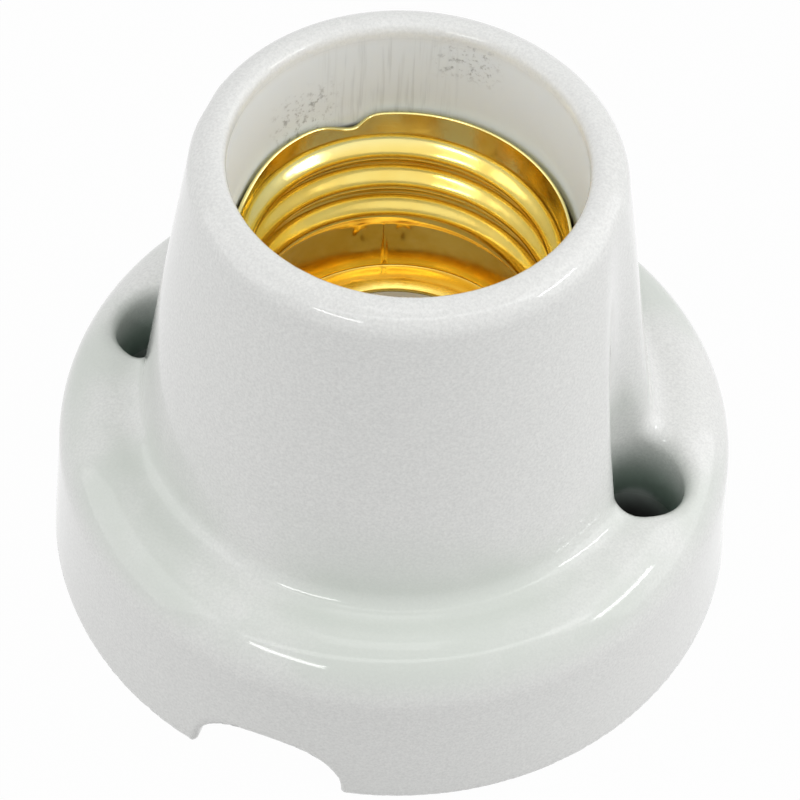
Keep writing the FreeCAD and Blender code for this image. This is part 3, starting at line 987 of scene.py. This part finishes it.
def flat_length(tree, place):
    """Distance of a place in metres from the lamp axis."""
    flat = vector_math(tree, "MULTIPLY", {0: place, 1: FLAT}).outputs["Vector"]
    return vector_math(tree, "LENGTH", {0: flat}).outputs["Value"]


def polar(tree, place):
    """Distance from the lamp axis in metres, angle in degrees from +X and height in metres."""
    split = node_input(tree, "ShaderNodeSeparateXYZ", {"Vector": place})
    angle = calc(tree, "ARCTAN2", split.outputs["Y"], split.outputs["X"])
    return flat_length(tree, place), multiply(tree, angle, 180 / math.pi), split.outputs["Z"]


def hole_distance(tree, place):
    """Distance in metres from the nearer fixing hole's axis."""
    split = node_input(tree, "ShaderNodeSeparateXYZ", {"Vector": place})
    along = split.outputs["Y"]
    side = calc(tree, "SUBTRACT", math_node(tree, "ABSOLUTE", split.outputs["X"]), HOLE_X * MM)
    square = calc(tree, "ADD", multiply(tree, side, side), multiply(tree, along, along))
    return math_node(tree, "SQRT", square)


def roughen(tree, shader, fac, low, high, least=None):
    """Roughness between low and high along a noise, and nowhere below the least one if given."""
    gloss = ramp(tree, fac, [(0.3, (low,) * 3), (0.7, (high,) * 3)])
    if least is not None:
        gloss = calc(tree, "MAXIMUM", gloss, least)
    tree.links.new(gloss, shader.inputs["Roughness"])


def add_bump(tree, shader, height, strength, distance):
    """Bump of a material from a height, with the distance in metres."""
    links = {"Height": height, "Strength": strength, "Distance": distance}
    bump = node_input(tree, "ShaderNodeBump", links)
    tree.links.new(bump.outputs["Normal"], shader.inputs["Normal"])


def bore_streaks(tree, place, degrees):
    """Fine upright lines that the glaze has drawn on the far wall of the mouth."""
    drawn = vector_math(tree, "MULTIPLY", {0: place, 1: STREAK_STRETCH}).outputs["Vector"]
    lines = mask(tree, noise(tree, drawn, scale=3000.0, detail=2.0), low=0.48, high=0.7)
    return multiply(tree, lines, mask(tree, degrees, *STREAKS_RIGHT), mask(tree, degrees, *STREAKS_LEFT))


def bore_specks(tree, place, degrees, height):
    """Dark specks in two patches of the mouth."""
    patches = []
    for start, end, level in (LEFT_SPECKS, RIGHT_SPECKS):
        sides = (mask(tree, degrees, *start), mask(tree, degrees, *end))
        patches.append(multiply(tree, *sides, zone(tree, height, level)))
    dots = mask(tree, noise(tree, place, scale=1700.0, roughness=0.7), low=0.5, high=0.7)
    return multiply(tree, dots, calc(tree, "MAXIMUM", *patches))


def glaze():
    """White porcelain under a clear glaze: faint grain, a green tint darkened as painted shade on the
    flange, a painted cool tint and painted shade in the bore, marks in the bore and painted shade in the
    fixing wells.
    """
    material, tree, shader, place = new_material("glazed_porcelain")
    radius, degrees, height = polar(tree, place)
    grain = noise(tree, place, scale=4200.0, detail=2.0, roughness=0.7)
    tone = ramp(tree, grain, [(0.3, GLAZE_DARK), (0.7, GLAZE_LIGHT)])

    clouds = mask(tree, noise(tree, place, scale=55.0, detail=4.0), low=0.34, high=0.6)
    # Green tint of thick glaze on the flange, darkened as painted shade near the tower
    flange = multiply(tree, zone(tree, height, GREEN_SHADE_TOP), zone(tree, height, GREEN_SHADE_FOOT))
    tone = blend_colour(tree, multiply(tree, clouds, flange, GREEN_SHADE_SHARE), tone, GLAZE_GREEN_AND_SHADE)

    ends = multiply(tree, zone(tree, height, BORE_FOOT), zone(tree, height, BORE_TOP))
    inside = multiply(tree, zone(tree, radius, BORE_WALL), ends)
    mouth = multiply(tree, inside, zone(tree, height, MOUTH_FOOT))
    seat = zone(tree, height, SEAT_SHADE_TOP)
    seat = multiply(tree, inside, seat, zone(tree, radius, SEAT_SHADE_WALL))
    streaks = multiply(tree, bore_streaks(tree, place, degrees), mouth, STREAK_SHARE)
    specks = multiply(tree, bore_specks(tree, place, degrees, height), mouth, SPECK_SHARE)

    # Painted shade in the fixing wells and screw holes, darker with depth
    reach = hole_distance(tree, place)
    well = multiply(tree, zone(tree, reach, WELL_WALL), zone(tree, height, WELL_FOOT))
    near_hole = calc(tree, "MAXIMUM", well, zone(tree, reach, SCREW_HOLE_WALL))
    well_shade = multiply(tree, near_hole, zone(tree, height, WELL_SHADE_TOP))
    darkest_well_shade = multiply(tree, near_hole, zone(tree, height, DARKEST_WELL_SHADE_TOP))

    layers = (
        # painted cool tint in the bore
        (inside, BORE_COOL_TINT),
        (seat, SEAT_SHADE),
        (streaks, STREAK_TONE),
        (specks, SPECK_TONE),
        # painted shade deep in the fixing wells
        (well_shade, WELL_SHADE_TONE),
        (darkest_well_shade, DARKEST_WELL_SHADE_TONE),
    )
    for share, colour in layers:
        tone = blend_colour(tree, share, tone, colour)
    tree.links.new(tone, shader.inputs["Base Color"])

    dull = (multiply(tree, inside, BORE_DULLNESS), multiply(tree, darkest_well_shade, WELL_DULLNESS))
    least = calc(tree, "MAXIMUM", *dull)
    waves = noise(tree, place, scale=160.0, detail=4.0)
    roughen(tree, shader, waves, low=0.05, high=0.1, least=least)
    peel = noise(tree, place, scale=260.0, detail=2.0)
    add_bump(tree, shader, peel, strength=0.035, distance=0.0003)
    shader.inputs["IOR"].default_value = GLAZE_IOR
    return material


def brass(name, light, dark, rough, stain_and_reflection=False):
    """Bright rolled or stamped brass with duller patches, and on the shell a stain on the lower wall and
    a painted reflection that lightens the plain band above the thread.
    """
    material, tree, shader, place = new_material(name)
    patches = noise(tree, place, scale=120.0, detail=5.0, roughness=0.6)
    tone = ramp(tree, patches, [(0.3, dark), (0.7, light)])
    if stain_and_reflection:
        height = polar(tree, place)[2]
        clouds = noise(tree, place, scale=190.0, detail=4.0, roughness=0.6)
        clouds = mask(tree, clouds, low=0.3, high=0.65)
        share = math_node(tree, "MULTIPLY_ADD", clouds, STAIN_CLOUDS, STAIN_LEAST)
        wall = multiply(tree, zone(tree, height, STAIN_TOP), zone(tree, height, STAIN_FOOT))
        tone = blend_colour(tree, multiply(tree, wall, share), tone, STAIN_TONE)
        # Painted reflection that lightens the plain band above the thread
        tone = blend_colour(tree, zone(tree, height, REFLECTION_BAND_FOOT), tone, TOP_BAND_REFLECTION_TONE)
    tree.links.new(tone, shader.inputs["Base Color"])
    shader.inputs["Metallic"].default_value = 1.0
    grain = noise(tree, place, scale=900.0, detail=4.0, roughness=0.6)
    roughen(tree, shader, grain, rough, rough + BRASS_GRAIN)
    add_bump(tree, shader, grain, strength=0.1, distance=0.0001)
    return material


def dress(piece, material):
    """Gives a piece its one material."""
    piece.data.materials.clear()
    piece.data.materials.append(material)


def direct_rays(tree, path):
    """1 for the rays that see a surface directly, in a reflection or through glass."""
    names = ("Is Camera Ray", "Is Glossy Ray", "Is Transmission Ray")
    return calc(tree, "MAXIMUM", *[path.outputs[name] for name in names])


def mix_shaders(tree, share, first, second):
    """Shader that goes from first to second with a share."""
    return node_input(tree, "ShaderNodeMixShader", {"Fac": share, 1: first, 2: second}).outputs["Shader"]


def paper_white(name, colour):
    """Floor that the camera sees as nearly white, with the shadow kept on it."""
    material, tree, surface = cleared_material(name)
    diffuse = node_input(tree, "ShaderNodeBsdfDiffuse", {"Color": (*colour, 1)})
    glow = node_input(tree, "ShaderNodeEmission", {"Color": (1, 1, 1, 1), "Strength": 1.0})
    clear = tree.nodes.new("ShaderNodeBsdfTransparent")
    path = tree.nodes.new("ShaderNodeLightPath")
    share = multiply(tree, direct_rays(tree, path), FLOOR_GLOW)
    paper = mix_shaders(tree, share, diffuse.outputs["BSDF"], glow.outputs["Emission"])
    opened = open_below(tree, path.outputs["Is Camera Ray"])
    tree.links.new(mix_shaders(tree, opened, paper, clear.outputs["BSDF"]), surface)
    return material


def open_below(tree, camera_ray):
    """1 where the floor lets rays through: from below, and under the object for all but the camera."""
    geometry = tree.nodes.new("ShaderNodeNewGeometry")
    radius = flat_length(tree, geometry.outputs["Position"])
    under = calc(tree, "LESS_THAN", radius, FLOOR_OPEN_R * MM)
    hidden = multiply(tree, under, calc(tree, "SUBTRACT", 1.0, camera_ray))
    return calc(tree, "MAXIMUM", geometry.outputs["Backfacing"], hidden)


def floor():
    """Wide white floor a hair below the foot."""
    signs = ((-1, -1), (1, -1), (1, 1), (-1, 1))
    corners = [(x * FLOOR_HALF, y * FLOOR_HALF, FLOOR_LEVEL) for x, y in signs]
    mesh = bpy.data.meshes.new("floor")
    mesh.from_pydata(corners, [], [(0, 1, 2, 3)])
    plane = bpy.data.objects.new("floor", mesh)
    bpy.context.scene.collection.objects.link(plane)
    dress(plane, paper_white("floor_paper", FLOOR_TONE))


def world(strength):
    """Even pale surroundings, white to the camera and in reflections."""
    surroundings = bpy.data.worlds.new("studio")
    bpy.context.scene.world = surroundings
    surroundings.use_nodes = True
    tree = surroundings.node_tree
    tree.nodes.clear()
    out = tree.nodes.new("ShaderNodeOutputWorld")
    bright = direct_rays(tree, tree.nodes.new("ShaderNodeLightPath"))
    links = {"Value": bright, "To Min": strength, "To Max": 1.0}
    level = node_input(tree, "ShaderNodeMapRange", links).outputs["Result"]
    links = {"Color": (1, 1, 1, 1), "Strength": level}
    sky = node_input(tree, "ShaderNodeBackground", links)
    tree.links.new(sky.outputs["Background"], out.inputs["Surface"])


def direction(azimuth, elevation):
    """Unit vector from the object towards a place, by its degrees about the lamp axis and up."""
    a = math.radians(azimuth)
    e = math.radians(elevation)
    return Vector((math.sin(a) * math.cos(e), -math.cos(a) * math.cos(e), math.sin(e)))


def lamp(name, azimuth, elevation, distance, size, watts):
    """Soft rectangular lamp aimed at the middle of the object; azimuth 0 is the camera's side."""
    data = bpy.data.lights.new(name, "AREA")
    data.shape = "RECTANGLE"
    data.size, data.size_y = size
    data.energy = watts
    light = bpy.data.objects.new(name, data)
    back = direction(azimuth + CAMERA_AZIMUTH, elevation)
    light.location = Vector((0, 0, HEIGHT * MM / 2)) + back * distance
    light.rotation_mode = "QUATERNION"
    light.rotation_quaternion = (-back).to_track_quat("-Z", "Y")
    bpy.context.scene.collection.objects.link(light)


def aim(ahead, right, up, aside, down):
    """Rotation whose view puts the direction ahead at the given slopes right and up of the middle."""
    turn = Matrix.Rotation(math.atan(aside), 3, up)
    tilt = Matrix.Rotation(-math.atan(down * math.cos(math.atan(aside))), 3, turn @ right)
    ahead = tilt @ turn @ ahead
    right = tilt @ turn @ right
    up = tilt @ turn @ up
    return Matrix((right, up, -ahead)).transposed()


def camera():
    """Camera that sees the foot's centre at its pixel of the photograph, rolled as the photo is."""
    back = direction(CAMERA_AZIMUTH, CAMERA_ELEVATION)
    a = math.radians(CAMERA_AZIMUTH)
    level = Vector((math.cos(a), math.sin(a), 0))
    upright = level.cross(-back)
    roll = math.radians(CAMERA_ROLL)
    right = level * math.cos(roll) + upright * math.sin(roll)
    up = upright * math.cos(roll) - level * math.sin(roll)
    aside = (FOOT_PIXEL[0] - CENTRE_PIXEL[0]) / FOCAL_PIXELS
    down = (CENTRE_PIXEL[1] - FOOT_PIXEL[1]) / FOCAL_PIXELS
    axis = aim(-back, right, up, aside, down)
    data = bpy.data.cameras.new("camera")
    data.sensor_width = 36.0
    data.lens = FOCAL_PIXELS / FRAME_PIXELS * data.sensor_width
    data.shift_x = (FRAME_PIXELS / 2 - CENTRE_PIXEL[0]) / FRAME_PIXELS
    data.shift_y = (CENTRE_PIXEL[1] - FRAME_PIXELS / 2) / FRAME_PIXELS
    data.clip_start = 0.01
    data.clip_end = 20.0
    view = bpy.data.objects.new("camera", data)
    view.matrix_world = Matrix.Translation(back * CAMERA_DISTANCE * MM) @ axis.to_4x4()
    bpy.context.scene.collection.objects.link(view)
    bpy.context.scene.camera = view


def brass_parts():
    """Terminals, wire washers and the centre contact, each in its own brass."""
    plate_brass = brass(*STAMPED_BRASS)
    left_end = (SHELL_X - SHELL_SCREW_R, 0)
    right_end = (0, CONTACT_SCREW_Y)
    dress(terminal("stamped_terminal_left", "neutral_terminal", -1, left_end), plate_brass)
    dress(terminal("stamped_terminal_right", "live_terminal", 1, right_end), plate_brass)
    dress(clamp_washer("square_washer_left", "neutral_clamp_washer", "neutral_clamp", -1), plate_brass)
    dress(clamp_washer("square_washer_right", "live_clamp_washer", "live_clamp", 1), plate_brass)
    dress(centre_contact(), brass(*SPRING_BRASS))


def main():
    """The 14 pieces, then the stage, the lamps and the camera."""
    dress(porcelain(), glaze())
    dress(screw_shell(), brass(*ROLLED_BRASS, stain_and_reflection=True))
    screw_brass = brass(*TURNED_BRASS)
    for piece in screws() + [shell_nut(), shell_washer()]:
        dress(piece, screw_brass)
    brass_parts()
    floor()
    world(SKY_LIGHT)
    for row in LAMPS:
        lamp(*row)
    camera()
    bpy.context.scene.view_settings.view_transform = "Standard"


main()
